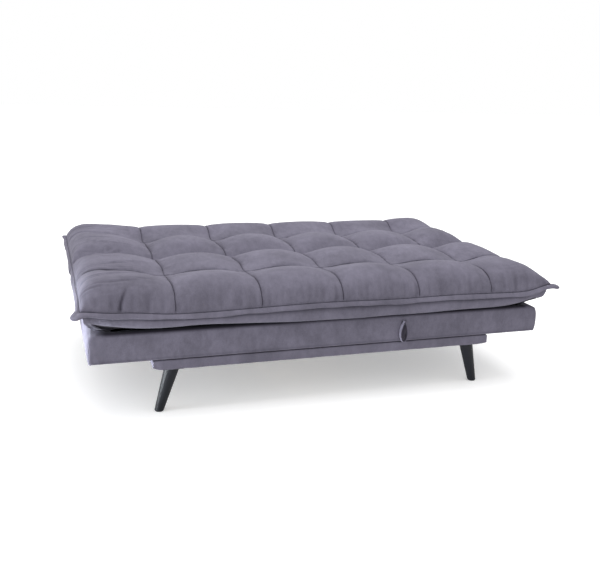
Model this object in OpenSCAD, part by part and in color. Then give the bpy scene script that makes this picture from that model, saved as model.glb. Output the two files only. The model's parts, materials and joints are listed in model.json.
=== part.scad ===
// Three-seat click-clack futon sofa bed, drawn in its flat bed position.
// +X runs along its length, the front edge faces -Y, and the floor is z = 0.

/* [Part shown] */
// Sub-part to draw; "all" draws the whole sofa bed

/* [Overall] */
// Length of the topper from ear to ear
overall_length = 1932; // [1500:1:2300]
// Depth of the flat bed over the topper flange
overall_depth = 1240; // [950:1:1500]
// Height of the topper surface above the floor
overall_height = 510; // [420:1:620]
// Height of the legs with their glides
leg_height = 177; // [100:1:260]

/* [Upholstered boxes] */
// Length of the seat box and the back box
box_length = 1820; // [1400:1:2180]
// Depth of the bed over both boxes
boxes_depth = 1100; // [860:1:1400]
// Height of each box
box_height = 112; // [90:1:150]
// Gap between the two boxes at the crease
crease_gap = 4; // [3:0.5:20]
// Thickness of the box cover and its backing
cover_t = 2; // [1.5:0.1:4]
// Thickness of the batting between the cover and the frame
batting_t = 9; // [4:0.5:14]
// Radius of the upright box corners
corner_r = 14; // [6:1:30]
// Thickness of the wooden frame boards
board_t = 24; // [18:1:30]
// Height of the wooden frame boards
board_h = 60; // [45:1:75]
// Width of each slat
slat_w = 60; // [40:1:90]
// Thickness of each slat
slat_t = 12; // [8:1:18]
// Number of slats in each box
slat_count = 9; // [5:1:13]

/* [Topper] */
// Distance that the flange stands out past the topper side
flange_w = 16; // [8:1:30]
// Thickness of the stitched flange
flange_t = 12; // [6:1:20]
// Height of the lower band under the flange
band_h = 56; // [30:1:70]
// How far the long edges curve in between the corners
edge_sag = 16; // [4:1:30]
// Slope height of the rounded upper edge
crown_h = 60; // [30:1:80]

/* [Base] */
// Length of the base frame
base_length = 1370; // [1100:1:1700]
// Depth of the base frame
base_depth = 800; // [620:1:1000]
// Thickness of the base rails
rail_t = 28; // [20:1:36]
// Clearance between the base rails and the boxes
rest_gap = 1; // [0.6:0.1:4]
// Height of the base rails
rail_h = 37; // [30:1:60]

/* [Legs] */
// Diameter of a leg at its top
leg_top_d = 55; // [40:1:70]
// Diameter of a leg at its foot
leg_foot_d = 34; // [26:1:46]
// Outward lean of each leg over its height
leg_splay = 50; // [0:1:70]
// Thickness of the plastic glide under each foot
glide_t = 4; // [3:0.5:8]
// Thickness of the steel plate above each leg
plate_t = 3; // [2:0.5:5]
// Distance from the end of the base to the centre of a leg top
leg_inset = 72; // [56:1:110]
// Distance from the front of the base to the centre of a leg top
leg_setback = 42; // [36:1:80]

/* [Hinge] */
// Height of the pivot below the topper surface
pivot_drop = 70; // [60:1:100]
// Thickness of the hinge plates
plate_steel_t = 4; // [3:0.5:6]
// Side gap between two hinge plates
plate_gap = 1; // [0.5:0.1:2]
// Radius of the eye around the pivot
eye_r = 15; // [13:0.5:18]
// Radius of the pivot bolt
pivot_r = 5; // [4:0.5:6]
// Radial running clearance of the pivot bolt
running_gap = 0.06; // [0.02:0.01:0.1]
// Width of the arms and of the bracket neck
arm_w = 24; // [18:1:30]
// Length of each arm foot along the hinge board
arm_foot = 230; // [160:1:300]

/* [Pull loop] */
// Distance of the loop from the middle of the seat
loop_x = 297; // [-600:1:600]
// Width of the loop
loop_w = 32; // [24:1:50]
// Distance of the loop's sewn top below the top of the seat box
loop_drop = 20; // [8:1:40]
// Thickness of the strap
strap_t = 3; // [2:0.5:5]
// Width of the strap
strap_w = 18; // [14:1:20]

/* [Hidden] */
$fn = 48;
eps = 0.01;
fit_gap = 0.05;
box_z0 = leg_height + rail_h + rest_gap;
box_z1 = box_z0 + box_height;
half_depth = (boxes_depth - crease_gap) / 2;
box_y0 = -boxes_depth / 2;
box_y1 = -crease_gap / 2;
box_x = box_length / 2;
in_x = box_x - cover_t;
in_y0 = box_y0 + cover_t;
in_y1 = box_y1 - cover_t;
in_z0 = box_z0 + cover_t;
in_z1 = box_z1 - cover_t;
fr_x = in_x - batting_t;
fr_y0 = in_y0 + batting_t;
fr_y1 = in_y1 - batting_t;
fr_z0 = in_z0 + batting_t;
fr_z1 = in_z1 - batting_t;
board_z1 = fr_z0 + board_h;
pivot_z = overall_height - pivot_drop;
topper_z0 = box_z1 + 1;
topper_t = overall_height - topper_z0;
topper_face = crease_gap;
// The flange stays below the pivot, so that the crease can close above it.
flange_z0 = min(topper_z0 + min(band_h, 0.31 * topper_t), pivot_z - flange_t - 4);
crown = min(crown_h, overall_height - flange_z0 - flange_t - 20);
base_x = base_length / 2;
base_y0 = box_y0;
base_y1 = base_y0 + base_depth;
rail_z0 = leg_height;
rail_z1 = rail_z0 + rail_h;
// Hinge plates stack inwards from the base end rail: bracket, back arm, seat arm.
bracket_x1 = base_x - rail_t;
bracket_x0 = bracket_x1 - plate_steel_t;
back_arm_x1 = bracket_x0 - plate_gap;
back_arm_x0 = back_arm_x1 - plate_steel_t;
seat_arm_x1 = back_arm_x0 - plate_gap;
seat_arm_x0 = seat_arm_x1 - plate_steel_t;
bolt_head_t = 5;
nut_t = 6;
nut_gap = 0.5;
pocket_x0 = seat_arm_x0 - nut_gap - nut_t - 2;
pocket_x1 = bracket_x1 + bolt_head_t + 4;
pocket_y = arm_w + 12;
arm_y1 = -crease_gap;
arm_y0 = arm_y1 - arm_w;
arm_foot_h = 26;
arm_foot_z0 = fr_z0 + 12;
arm_bolt_r = 4;
arm_bolt_y = [for (i = [0:2]) arm_y0 - 36 - i * (arm_foot - arm_w - 60) / 2];
leg_x = base_x - leg_inset;
leg_y0 = base_y0 + leg_setback;
leg_y1 = base_y1 - leg_setback;
leg_lean_y = 10;
foot_x = leg_x + leg_splay;
plate_x = 76;
plate_y = 66;
block_x0 = leg_x - 42;
block_y = 90;
loop_top = box_z1 - loop_drop;
loop_bottom = box_z0 + 2;
loop_y1 = box_y0 - 3;
loop_pivot_y = loop_y1 - 8;
loop_pivot_z = loop_top - strap_t - 1;
fabric = [0.47, 0.45, 0.50];
fabric_dark = [0.36, 0.34, 0.38];
slate = [0.14, 0.15, 0.18];
pine = [0.78, 0.63, 0.43];
ply = [0.70, 0.56, 0.38];
steel = [0.60, 0.61, 0.63];
foam = [0.93, 0.89, 0.72];

// ---- Helpers ----

// Axis-aligned block from its two extreme corners
module block(a, b) {
    translate(a) cube(b - a);
}

// Draws its child on the left and on the right
module both_sides() {
    for (s = [0, 1]) mirror([s, 0, 0]) children();
}

// Cylinder along +X from x0 to x1
module rod_x(x0, x1, y, z, r) {
    translate([x0, y, z]) rotate([0, 90, 0]) cylinder(h = x1 - x0, r = r);
}

// Rectangle with four rounded corners
module round_rect(x0, x1, y0, y1, r) {
    translate([x0 + r, y0]) square([x1 - x0 - 2 * r, y1 - y0]);
    translate([x0, y0 + r]) square([x1 - x0, y1 - y0 - 2 * r]);
    for (x = [x0 + r, x1 - r], y = [y0 + r, y1 - r]) translate([x, y]) circle(r);
}

// Upright block with rounded vertical corners
module round_block(a, b, r) {
    translate([0, 0, a.z]) linear_extrude(b.z - a.z) round_rect(a.x, b.x, a.y, b.y, r);
}

// Room for the hinge plates at the crease, on both sides
module hinge_pockets(z0, z1) {
    both_sides() block([pocket_x0, -pocket_y, z0], [pocket_x1, pocket_y, z1]);
}

// ---- Base ----

module base_front_rail() {
    color(fabric)
        difference() {
            block([-base_x, base_y0, rail_z0], [base_x, base_y0 + rail_t, rail_z1]);
            plate_screw_holes();
            bumper_pits();
        }
}

module base_rear_rail() {
    color(fabric)
        difference() {
            block([-base_x, base_y1 - rail_t, rail_z0], [base_x, base_y1, rail_z1]);
            plate_screw_holes();
            bumper_pits();
        }
}

module base_end_rail() {
    color(fabric)
        difference() {
            block([base_x - rail_t, base_y0 + rail_t, rail_z0],
                [base_x, base_y1 - rail_t, rail_z1]);
            bracket_screw_holes();
        }
}

module base_center_rail() {
    color(pine)
        block([-rail_t / 2, base_y0 + rail_t, rail_z0], [rail_t / 2, base_y1 - rail_t, rail_z1]);
}

module base_corner_blocks() {
    color(pine)
        both_sides()
            for (y0 = [base_y0 + rail_t, base_y1 - rail_t - block_y])
                difference() {
                    block([block_x0, y0, rail_z0], [base_x - rail_t, y0 + block_y, rail_z1]);
                    hanger_bolt_holes(4 + fit_gap);
                    plate_screw_holes();
                }
}

// Round rubber rests set into the front and rear rails
module bumper_places() {
    for (x = [-0.6, 0, 0.6] * base_x, y = [base_y0 + rail_t / 2, base_y1 - rail_t / 2])
        translate([x, y, rail_z1]) children();
}

module bumper_pits() {
    bumper_places() translate([0, 0, -4]) cylinder(h = 5, r = 9 + fit_gap);
}

module rest_bumpers() {
    color(slate)
        bumper_places() translate([0, 0, -4]) cylinder(h = 4 + rest_gap - 0.4, r = 9);
}

// ---- Legs ----

// Places a child at the top centre of the front (y0) or rear (y1) right leg
module leg_place(front) {
    translate([leg_x, front ? leg_y0 : leg_y1, 0]) mirror([0, front ? 0 : 1, 0]) children();
}

module all_legs() {
    both_sides() for (front = [true, false]) leg_place(front) children();
}

// Tapered leg leaning outwards, cut level at both ends
module leg() {
    rise = leg_height - plate_t - glide_t;
    lean = [leg_splay, leg_lean_y, 0] * (rise / leg_height);
    tilt = atan(norm(lean) / rise);
    slant = norm([lean.x, lean.y, rise]);
    extra = leg_top_d / 2 * tan(tilt);
    taper = (leg_top_d - leg_foot_d) / 2 / slant;
    color(slate)
        difference() {
            intersection() {
                translate([lean.x, lean.y, glide_t])
                    rotate([0, 0, atan2(lean.y, lean.x)])
                        rotate([0, -tilt, 0])
                            translate([0, 0, -extra])
                                cylinder(h = slant + 2 * extra, r1 = leg_foot_d / 2 - taper * extra,
                                    r2 = leg_top_d / 2 + taper * extra);
                block([-100, -100, glide_t], [150, 100, leg_height - plate_t]);
            }
            translate([0, 0, leg_height - 50]) cylinder(h = 60, r = 4 + fit_gap);
        }
}

module glide() {
    lean = [leg_splay, leg_lean_y, 0] * ((leg_height - plate_t - glide_t) / leg_height);
    color(slate) translate(lean) cylinder(h = glide_t, r = leg_foot_d / 2 - 2);
}

module leg_plates() {
    color(steel)
        all_legs()
            difference() {
                block([-plate_x / 2, -plate_y / 2, leg_height - plate_t],
                    [plate_x / 2, plate_y / 2, leg_height]);
                translate([0, 0, leg_height - plate_t - 1]) cylinder(h = plate_t + 2, r = 4 + fit_gap);
                plate_screw_spots() cylinder(h = plate_t + 2, r = 2 + fit_gap);
            }
}

module hanger_bolt_holes(r) {
    for (front = [true, false]) leg_place(front) translate([0, 0, leg_height - 50])
        cylinder(h = 50 + rail_h - 5, r = r);
}

module leg_hanger_bolts() {
    color(steel) both_sides() hanger_bolt_holes(4);
}

module plate_screw_spots() {
    for (x = [-1, 1] * (plate_x / 2 - 8), y = [-1, 1] * (plate_y / 2 - 8))
        translate([x, y, leg_height - plate_t - 1]) children();
}

module plate_screw_holes() {
    all_legs() plate_screw_spots() cylinder(h = plate_t + 20, r = 2 + fit_gap);
}

module plate_screws() {
    color(steel)
        all_legs()
            plate_screw_spots() {
                translate([0, 0, -0.5]) cylinder(h = 1.5, r = 4);
                cylinder(h = plate_t + 18, r = 2);
            }
}

// ---- Hinges ----

// Fixed bracket on the inner face of the right end rail, seen along X
module hinge_bracket() {
    color(steel)
        difference() {
            union() {
                block([bracket_x0, -90, rail_z0 + 4], [bracket_x1, 90, rail_z1 - 4]);
                block([bracket_x0, -arm_w / 2, rail_z1 - 4 - eps], [bracket_x1, arm_w / 2, pivot_z]);
                rod_x(bracket_x0, bracket_x1, 0, pivot_z, eye_r);
            }
            rod_x(bracket_x0 - 1, bracket_x1 + 1, 0, pivot_z, pivot_r + fit_gap);
            bracket_screw_holes();
        }
}

module bracket_screw_spots() {
    for (y = [-70, 0, 70]) translate([0, y, (rail_z0 + rail_z1) / 2]) children();
}

module bracket_screw_holes() {
    bracket_screw_spots() rod_x(bracket_x0 - 1, bracket_x1 + 20, 0, 0, 2.5 + fit_gap);
}

module bracket_screws() {
    color(steel)
        both_sides()
            bracket_screw_spots() {
                rod_x(bracket_x0 - 2, bracket_x0, 0, 0, 5);
                rod_x(bracket_x0 - 1, bracket_x1 + 19, 0, 0, 2.5);
            }
}

// Seat arm (side = 1) or back arm (side = -1) from x0 to x1, with its foot inside the box
module hinge_arm(x0, x1, side) {
    color(steel)
        mirror([0, side > 0 ? 0 : 1, 0])
            difference() {
                union() {
                    rod_x(x0, x1, 0, pivot_z, eye_r);
                    block([x0, arm_y0, arm_foot_z0], [x1, arm_y1, pivot_z]);
                    block([x0, arm_y0 + arm_w - arm_foot, arm_foot_z0],
                        [x1, arm_y1, arm_foot_z0 + arm_foot_h]);
                }
                rod_x(x0 - 1, x1 + 1, 0, pivot_z, pivot_r + running_gap);
                for (y = arm_bolt_y)
                    rod_x(x0 - 1, x1 + 1, y, arm_foot_z0 + arm_foot_h / 2, arm_bolt_r + fit_gap);
            }
}

// Bolts through an arm whose inner face is at x0 and outer face at x1
module arm_bolts(x0, x1) {
    color(steel)
        both_sides()
            for (y = arm_bolt_y) {
                rod_x(x0 - board_t, x1 + 1, y, arm_foot_z0 + arm_foot_h / 2, arm_bolt_r);
                rod_x(x1, x1 + 3, y, arm_foot_z0 + arm_foot_h / 2, 8);
            }
}

module pivot_bolt() {
    color(steel) {
        rod_x(seat_arm_x0 - nut_gap - nut_t, bracket_x1 + 1, 0, pivot_z, pivot_r);
        rod_x(bracket_x1, bracket_x1 + bolt_head_t, 0, pivot_z, 9);
    }
}

module pivot_lock_nuts() {
    color(steel)
        both_sides()
            difference() {
                rod_x(seat_arm_x0 - nut_gap - nut_t, seat_arm_x0 - nut_gap, 0, pivot_z, 9);
                rod_x(pocket_x0, seat_arm_x1, 0, pivot_z, pivot_r + fit_gap);
            }
}

// ---- Upholstered boxes; the seat box is drawn and the back box is its mirror ----

module outer_rail() {
    color(pine)
        block([-fr_x, fr_y0, fr_z0], [fr_x, fr_y0 + board_t, board_z1]);
}

// Crease-side board, left open where the hinge plates pass
module crease_rail(board_x1) {
    color(pine) {
        block([-board_x1 + board_t, fr_y1 - board_t, fr_z0],
            [board_x1 - board_t, fr_y1, board_z1]);
        both_sides()
            block([pocket_x1 + 4, fr_y1 - board_t, fr_z0], [fr_x, fr_y1, board_z1]);
    }
}

module end_rails() {
    color(pine)
        both_sides()
            block([fr_x - board_t, fr_y0 + board_t, fr_z0],
                [fr_x, fr_y1 - board_t, board_z1]);
}

// Boards that carry the hinge arms; their outer face is at board_x1
module hinge_boards(board_x1) {
    color(ply)
        both_sides()
            difference() {
                block([board_x1 - board_t, fr_y0 + board_t, fr_z0], [board_x1, fr_y1, board_z1 - slat_t]);
                for (y = arm_bolt_y)
                    rod_x(board_x1 - board_t - 1, board_x1 + 1, y, arm_foot_z0 + arm_foot_h / 2,
                        arm_bolt_r + fit_gap);
            }
}

module slats() {
    span = fr_x - board_t;
    pitch = (fr_y1 - board_t - fr_y0 - board_t) / slat_count;
    y0 = fr_y0 + board_t;
    color(pine)
        for (i = [0:slat_count - 1])
            translate([0, y0 + (i + 0.5) * pitch, 0])
                difference() {
                    block([-span, -min(slat_w, pitch - 6) / 2, board_z1 - slat_t],
                        [span, min(slat_w, pitch - 6) / 2, board_z1]);
                    translate([0, -y0 - (i + 0.5) * pitch, 0]) hinge_pockets(fr_z0, fr_z1);
                }
}

module box_foam() {
    color(foam)
        difference() {
            round_block([-fr_x + fit_gap, fr_y0 + fit_gap, board_z1],
                [fr_x - fit_gap, fr_y1 - fit_gap, fr_z1 - fit_gap], 3);
            hinge_pockets(fr_z0, box_z1 + 1);
        }
}

// Wadding that wraps the frame and foam under the cover, open below the slats
module box_batting() {
    color(foam)
        difference() {
            round_block([-in_x + fit_gap, in_y0 + fit_gap, in_z0 + fit_gap],
                [in_x - fit_gap, in_y1 - fit_gap, in_z1 - fit_gap], corner_r - cover_t);
            block([-fr_x, fr_y0, fr_z0], [fr_x, fr_y1, fr_z1]);
            block([-in_x + 50, in_y0 + 50, box_z0], [in_x - 50, in_y1 - 50, fr_z0 + 1]);
            hinge_pockets(box_z0 - 1, box_z1 + 1);
        }
}

module box_cover() {
    color(fabric)
        difference() {
            round_block([-box_x, box_y0, box_z0], [box_x, box_y1, box_z1], corner_r);
            round_block([-in_x, in_y0, in_z0], [in_x, in_y1, in_z1], corner_r - cover_t);
            block([-in_x + 50, in_y0 + 50, box_z0 - 1], [in_x - 50, in_y1 - 50, in_z0 + 1]);
            hinge_pockets(box_z0 - 1, box_z1 + 1);
        }
}

module dust_cloth() {
    color(slate)
        block([-in_x + 50.5, in_y0 + 50.5, box_z0 + 0.5], [in_x - 50.5, in_y1 - 50.5, in_z0 - 0.2]);
}

// ---- Topper; the seat half is drawn and the back half is its mirror ----

// Profile of a half across its depth: in = edge inset, out to the sloped crease face
module half_profile() {
    y0 = -overall_depth / 2 + flange_w;
    top = overall_height;
    bend = pivot_z - topper_face;
    polygon([[y0 + 26, topper_z0], [-topper_face, topper_z0], [-topper_face, bend],
        [-topper_face - (top - bend), top], [y0 + crown, top], [y0 + 18, top - crown * 0.45],
        [y0, top - crown], [y0, flange_z0]]);
}

// Profile of the topper along its length
module length_profile() {
    x = overall_length / 2 - flange_w;
    top = overall_height;
    polygon([for (s = [-1, 1]) each [for (p = s < 0 ?
        [[x - 26, topper_z0], [x, flange_z0], [x, top - crown], [x - 18, top - crown * 0.45],
            [x - crown, top]] :
        [[x - crown, top], [x - 18, top - crown * 0.45], [x, top - crown], [x, flange_z0],
            [x - 26, topper_z0]]) [-s * p.x, p.y]]]);
}

// Shallow hollow along the front edge and the two ends, in straight steps between the corners
module edge_hollows(inset) {
    steps = 12;
    x = overall_length / 2 - inset;
    y = overall_depth / 2 - inset;
    linear_extrude(overall_height * 2) {
        polygon([[x, -y - inset - 5], [-x, -y - inset - 5],
            each [for (i = [0:steps]) let (t = 2 * i / steps - 1)
                [x * t, -y + edge_sag * (1 - t * t)]]]);
        both_sides()
            polygon([[x + inset + 5, y], [x + inset + 5, -y],
                each [for (i = [0:steps]) let (t = 2 * i / steps - 1)
                    [x - edge_sag * (1 - t * t), y * t]]]);
    }
}

module topper_half() {
    color(fabric) {
        difference() {
            intersection() {
                rotate([90, 0, 90]) linear_extrude(overall_length, center = true) half_profile();
                rotate([90, 0, 0]) linear_extrude(overall_depth, center = true) length_profile();
            }
            edge_hollows(flange_w);
            hinge_pockets(topper_z0 - 1, pivot_z + eye_r + 4);
        }
        difference() {
            block([-overall_length / 2, -overall_depth / 2, flange_z0],
                [overall_length / 2, -topper_face, flange_z0 + flange_t]);
            edge_hollows(0);
            block([-overall_length / 2 + 60, -overall_depth / 2 + 60, flange_z0 - 1],
                [overall_length / 2 - 60, 0, flange_z0 + flange_t + 1]);
        }
    }
}

// ---- Pull loop ----

// Drop shape with a round foot of radius r whose centre is at cz, and its point at top
module drop(r, cz, top) {
    a = acos(r / (top - cz));
    translate([0, cz]) {
        circle(r);
        polygon([[r * sin(a), r * cos(a)], [0, top - cz], [-r * sin(a), r * cos(a)]]);
    }
}

module pull_loop() {
    r = loop_w / 2;
    cz = loop_bottom + r;
    color(fabric)
        translate([loop_x, loop_y1, 0])
            rotate([90, 0, 0])
                linear_extrude(strap_w)
                    difference() {
                        drop(r, cz, loop_top);
                        drop(r - strap_t, cz, loop_top - strap_t * 4);
                    }
}

module pull_loop_tab() {
    color(fabric_dark)
        block([loop_x - 9, box_y0 - 1.4, loop_top - 14], [loop_x + 9, box_y0, loop_top + 4]);
}

// ---- Sub-parts ----

base_front_rail();
base_rear_rail();
mirror([1, 0, 0]) base_end_rail();  // base_left_rail
base_end_rail();  // base_right_rail
base_center_rail();
base_corner_blocks();
mirror([1, 0, 0]) leg_place(true) leg();  // leg_front_left
leg_place(true) leg();  // leg_front_right
mirror([1, 0, 0]) leg_place(false) leg();  // leg_rear_left
leg_place(false) leg();  // leg_rear_right
mirror([1, 0, 0]) leg_place(true) glide();  // glide_front_left
leg_place(true) glide();  // glide_front_right
mirror([1, 0, 0]) leg_place(false) glide();  // glide_rear_left
leg_place(false) glide();  // glide_rear_right
leg_plates();
leg_hanger_bolts();
plate_screws();
mirror([1, 0, 0]) hinge_bracket();  // hinge_bracket_left
hinge_bracket();  // hinge_bracket_right
bracket_screws();
mirror([1, 0, 0]) pivot_bolt();  // pivot_bolt_left
pivot_bolt();  // pivot_bolt_right
pivot_lock_nuts();
rest_bumpers();
outer_rail();  // seat_front_rail
crease_rail(seat_arm_x0);  // seat_crease_rail
end_rails();  // seat_end_rails
hinge_boards(seat_arm_x0);  // seat_hinge_boards
slats();  // seat_slats
box_foam();  // seat_foam
box_batting();  // seat_batting
box_cover();  // seat_cover
dust_cloth();  // seat_dust_cloth
mirror([1, 0, 0]) hinge_arm(seat_arm_x0, seat_arm_x1, 1);  // hinge_seat_arm_left
hinge_arm(seat_arm_x0, seat_arm_x1, 1);  // hinge_seat_arm_right
arm_bolts(seat_arm_x0, seat_arm_x1);  // seat_arm_bolts
pull_loop_tab();
topper_half();  // topper_seat
mirror([0, 1, 0]) outer_rail();  // back_rear_rail
mirror([0, 1, 0]) crease_rail(back_arm_x0);  // back_crease_rail
mirror([0, 1, 0]) end_rails();  // back_end_rails
mirror([0, 1, 0]) hinge_boards(back_arm_x0);  // back_hinge_boards
mirror([0, 1, 0]) slats();  // back_slats
mirror([0, 1, 0]) box_foam();  // back_foam
mirror([0, 1, 0]) box_batting();  // back_batting
mirror([0, 1, 0]) box_cover();  // back_cover
mirror([0, 1, 0]) dust_cloth();  // back_dust_cloth
mirror([1, 0, 0]) hinge_arm(back_arm_x0, back_arm_x1, -1);  // hinge_back_arm_left
hinge_arm(back_arm_x0, back_arm_x1, -1);  // hinge_back_arm_right
mirror([0, 1, 0]) arm_bolts(back_arm_x0, back_arm_x1);  // back_arm_bolts
mirror([0, 1, 0]) topper_half();  // topper_back
pull_loop();
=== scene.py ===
import json
import math

import bmesh
import bpy
import numpy as np
from mathutils import Matrix, Vector


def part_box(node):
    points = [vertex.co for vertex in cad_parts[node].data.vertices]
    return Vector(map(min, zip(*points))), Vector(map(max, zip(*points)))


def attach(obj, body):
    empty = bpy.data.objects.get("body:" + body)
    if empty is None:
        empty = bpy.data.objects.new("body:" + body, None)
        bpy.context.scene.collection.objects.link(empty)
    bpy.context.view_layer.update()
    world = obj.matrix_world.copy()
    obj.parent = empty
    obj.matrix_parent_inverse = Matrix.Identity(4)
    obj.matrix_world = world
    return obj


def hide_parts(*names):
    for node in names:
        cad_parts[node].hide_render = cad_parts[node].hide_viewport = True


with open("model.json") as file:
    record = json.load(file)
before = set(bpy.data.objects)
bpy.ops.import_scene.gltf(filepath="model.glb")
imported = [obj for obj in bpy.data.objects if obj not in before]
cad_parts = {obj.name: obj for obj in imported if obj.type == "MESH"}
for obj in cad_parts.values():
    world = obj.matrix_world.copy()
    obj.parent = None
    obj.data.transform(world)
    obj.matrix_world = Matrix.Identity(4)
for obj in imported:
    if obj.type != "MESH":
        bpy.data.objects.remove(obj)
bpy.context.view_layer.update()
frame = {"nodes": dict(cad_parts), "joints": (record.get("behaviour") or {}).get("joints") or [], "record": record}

# ---------------------------------------------------------------- sizes, from the frame

SEAT_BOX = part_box("seat_cover")
BACK_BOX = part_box("back_cover")
SEAT_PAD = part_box("topper_seat")
PAD_TOP = SEAT_PAD[1].z
PAD_BOTTOM = SEAT_PAD[0].z + 0.004
PIVOT_Z = next(j["pos_m"][2] for j in frame["joints"] if j["name"] == "back_fold")
EDGE_Z = 0.404  # height of the seam between the puffs and the flange
NODE_Z = PAD_TOP - 0.034  # height of the stitched nodes
BACK_RISE = 0.016  # the far rows stand higher than the front row
SKIN_X = SEAT_PAD[1].x - 0.030  # outline of the puffs, inside the flange
SKIN_Y = -SEAT_PAD[0].y - 0.026
CREASE_Y = 0.0022  # half of the gap between seat and back
COLUMN_STEP = 0.319  # from one stitched column to the next
COLUMN_SHIFT = 0.030  # the middle column lies this far to the right of the centre
ROW_Y = 0.318  # from the crease to the stitched row
V_SLOPE = 0.94  # rise over run of the sides of the crease
V_ROUND = 0.009
PER_CELL = 72  # grid steps across one puff
CLOTH_PER_CELL = 36
LOOP_X = (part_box("pull_loop")[0].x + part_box("pull_loop")[1].x) / 2
LOOP_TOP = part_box("pull_loop")[1].z

# ---------------------------------------------------------------- materials


def new_material(name):
    m = bpy.data.materials.new(name)
    m.use_nodes = True
    nt = m.node_tree
    return m, nt, nt.nodes["Principled BSDF"]


def add(nt, kind, **values):
    """New node; in_Name sets the input called Name, and other values set the node's own fields."""
    n = nt.nodes.new(kind)
    for key, value in values.items():
        if key.startswith("in_"):
            n.inputs[key[3:].replace("_", " ")].default_value = value
        else:
            setattr(n, key, value)
    return n


def noise_tex(nt, scale, detail=3.0, stretch=(1, 1, 1), roughness=0.5):
    coord = add(nt, "ShaderNodeTexCoord")
    mapping = add(nt, "ShaderNodeMapping")
    mapping.inputs["Scale"].default_value = stretch
    n = add(nt, "ShaderNodeTexNoise", in_Scale=scale, in_Detail=detail, in_Roughness=roughness)
    nt.links.new(coord.outputs["Object"], mapping.inputs["Vector"])
    nt.links.new(mapping.outputs["Vector"], n.inputs["Vector"])
    return n


def ramp(nt, source, low, high, a=(0, 0, 0, 1), b=(1, 1, 1, 1)):
    r = add(nt, "ShaderNodeValToRGB")
    r.color_ramp.elements[0].position, r.color_ramp.elements[1].position = low, high
    r.color_ramp.elements[0].color, r.color_ramp.elements[1].color = a, b
    nt.links.new(source, r.inputs["Fac"])
    return r.outputs["Color"]


def mix(nt, kind, factor, a, b):
    n = add(nt, "ShaderNodeMix", data_type="RGBA", blend_type=kind)
    for socket, value in ((n.inputs[0], factor), (n.inputs[6], a), (n.inputs[7], b)):
        if isinstance(value, (float, tuple)):
            socket.default_value = value
        else:
            nt.links.new(value, socket)
    return n.outputs[2]


def bump(nt, height, strength, distance, below=None):
    b = add(nt, "ShaderNodeBump", in_Strength=strength, in_Distance=distance)
    nt.links.new(height, b.inputs["Height"])
    if below is not None:
        nt.links.new(below, b.inputs["Normal"])
    return b.outputs["Normal"]


def grey(v):
    return (v, v, v, 1)


def fabric(name, color, mottle=0.15, sheen=0.08, grain=0.5, seams=True):
    """Brushed microfibre: cloudy mottling, smaller patches, a fine grain, and dark seam lines and painted shade
    taken from the seam attribute.
    """
    m, nt, bsdf = new_material(name)
    base = (*color, 1)
    cloud = ramp(nt, noise_tex(nt, 7, 4).outputs["Fac"], 0.3, 0.7, grey(1 - mottle), grey(1 + mottle))
    shade = mix(nt, "MULTIPLY", 1.0, base, cloud)
    patch = ramp(nt, noise_tex(nt, 30, 5, (1.6, 1, 1), 0.62).outputs["Fac"], 0.3, 0.7,
                 grey(1 - mottle * 0.75), grey(1 + mottle * 0.75))
    shade = mix(nt, "MULTIPLY", 1.0, shade, patch)
    fine = ramp(nt, noise_tex(nt, 420, 2).outputs["Fac"], 0.3, 0.7, grey(0.91), grey(1.09))
    shade = mix(nt, "MULTIPLY", 1.0, shade, fine)
    # The seam attribute mixes in a dark colour: the seam lines, and painted shade in grooves, wrinkles, under the
    # flange, on the topper's underside, on the box top, inside the pull loop and on the strap's inner face.
    if seams:
        line = add(nt, "ShaderNodeAttribute", attribute_name="seam")
        shade = mix(nt, "MIX", line.outputs["Fac"], shade,
                    (color[0] * 0.22, color[1] * 0.21, color[2] * 0.24, 1))
    nt.links.new(shade, bsdf.inputs["Base Color"])
    bsdf.inputs["Roughness"].default_value = 0.92
    bsdf.inputs["Specular IOR Level"].default_value = 0.10
    bsdf.inputs["Sheen Weight"].default_value = sheen
    bsdf.inputs["Sheen Roughness"].default_value = 0.45
    bsdf.inputs["Sheen Tint"].default_value = (0.86, 0.85, 0.95, 1)
    soft = bump(nt, noise_tex(nt, 26, 3).outputs["Fac"], 0.30, 0.0022)
    warp = bump(nt, noise_tex(nt, 700, 2).outputs["Fac"], grain, 0.0006, soft)
    nt.links.new(warp, bsdf.inputs["Normal"])
    return m


def wood(name, color, rough, figure, stretch=(1.5, 26, 26), gloss=0.5):
    """Stained or raw wood with long grain and darker pores."""
    m, nt, bsdf = new_material(name)
    grain = ramp(nt, noise_tex(nt, 3.0, 5, stretch, 0.6).outputs["Fac"], 0.3, 0.72,
                 grey(1 - figure), grey(1 + figure))
    pores = ramp(nt, noise_tex(nt, 18.0, 3, stretch).outputs["Fac"], 0.42, 0.6,
                 grey(1 - figure * 0.5), grey(1.0))
    nt.links.new(mix(nt, "MULTIPLY", 1.0, mix(nt, "MULTIPLY", 1.0, (*color, 1), grain), pores),
                 bsdf.inputs["Base Color"])
    bsdf.inputs["Roughness"].default_value = rough
    bsdf.inputs["Specular IOR Level"].default_value = gloss
    nt.links.new(bump(nt, noise_tex(nt, 12.0, 4, stretch).outputs["Fac"], 0.25, 0.0006),
                 bsdf.inputs["Normal"])
    return m


def hard(name, color, metal, rough):
    """Metal, plastic or rubber whose colour and gloss vary a little."""
    spread, scale = 0.10, 60
    m, nt, bsdf = new_material(name)
    tone = ramp(nt, noise_tex(nt, scale, 4).outputs["Fac"], 0.3, 0.7, grey(1 - spread), grey(1 + spread))
    nt.links.new(mix(nt, "MULTIPLY", 1.0, (*color, 1), tone), bsdf.inputs["Base Color"])
    nt.links.new(ramp(nt, noise_tex(nt, scale * 0.6, 3).outputs["Fac"], 0.3, 0.7, grey(rough * 0.85),
                      grey(min(1, rough * 1.15))), bsdf.inputs["Roughness"])
    bsdf.inputs["Metallic"].default_value = metal
    nt.links.new(bump(nt, noise_tex(nt, scale * 5, 2).outputs["Fac"], 0.2, 0.0003), bsdf.inputs["Normal"])
    return m


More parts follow.
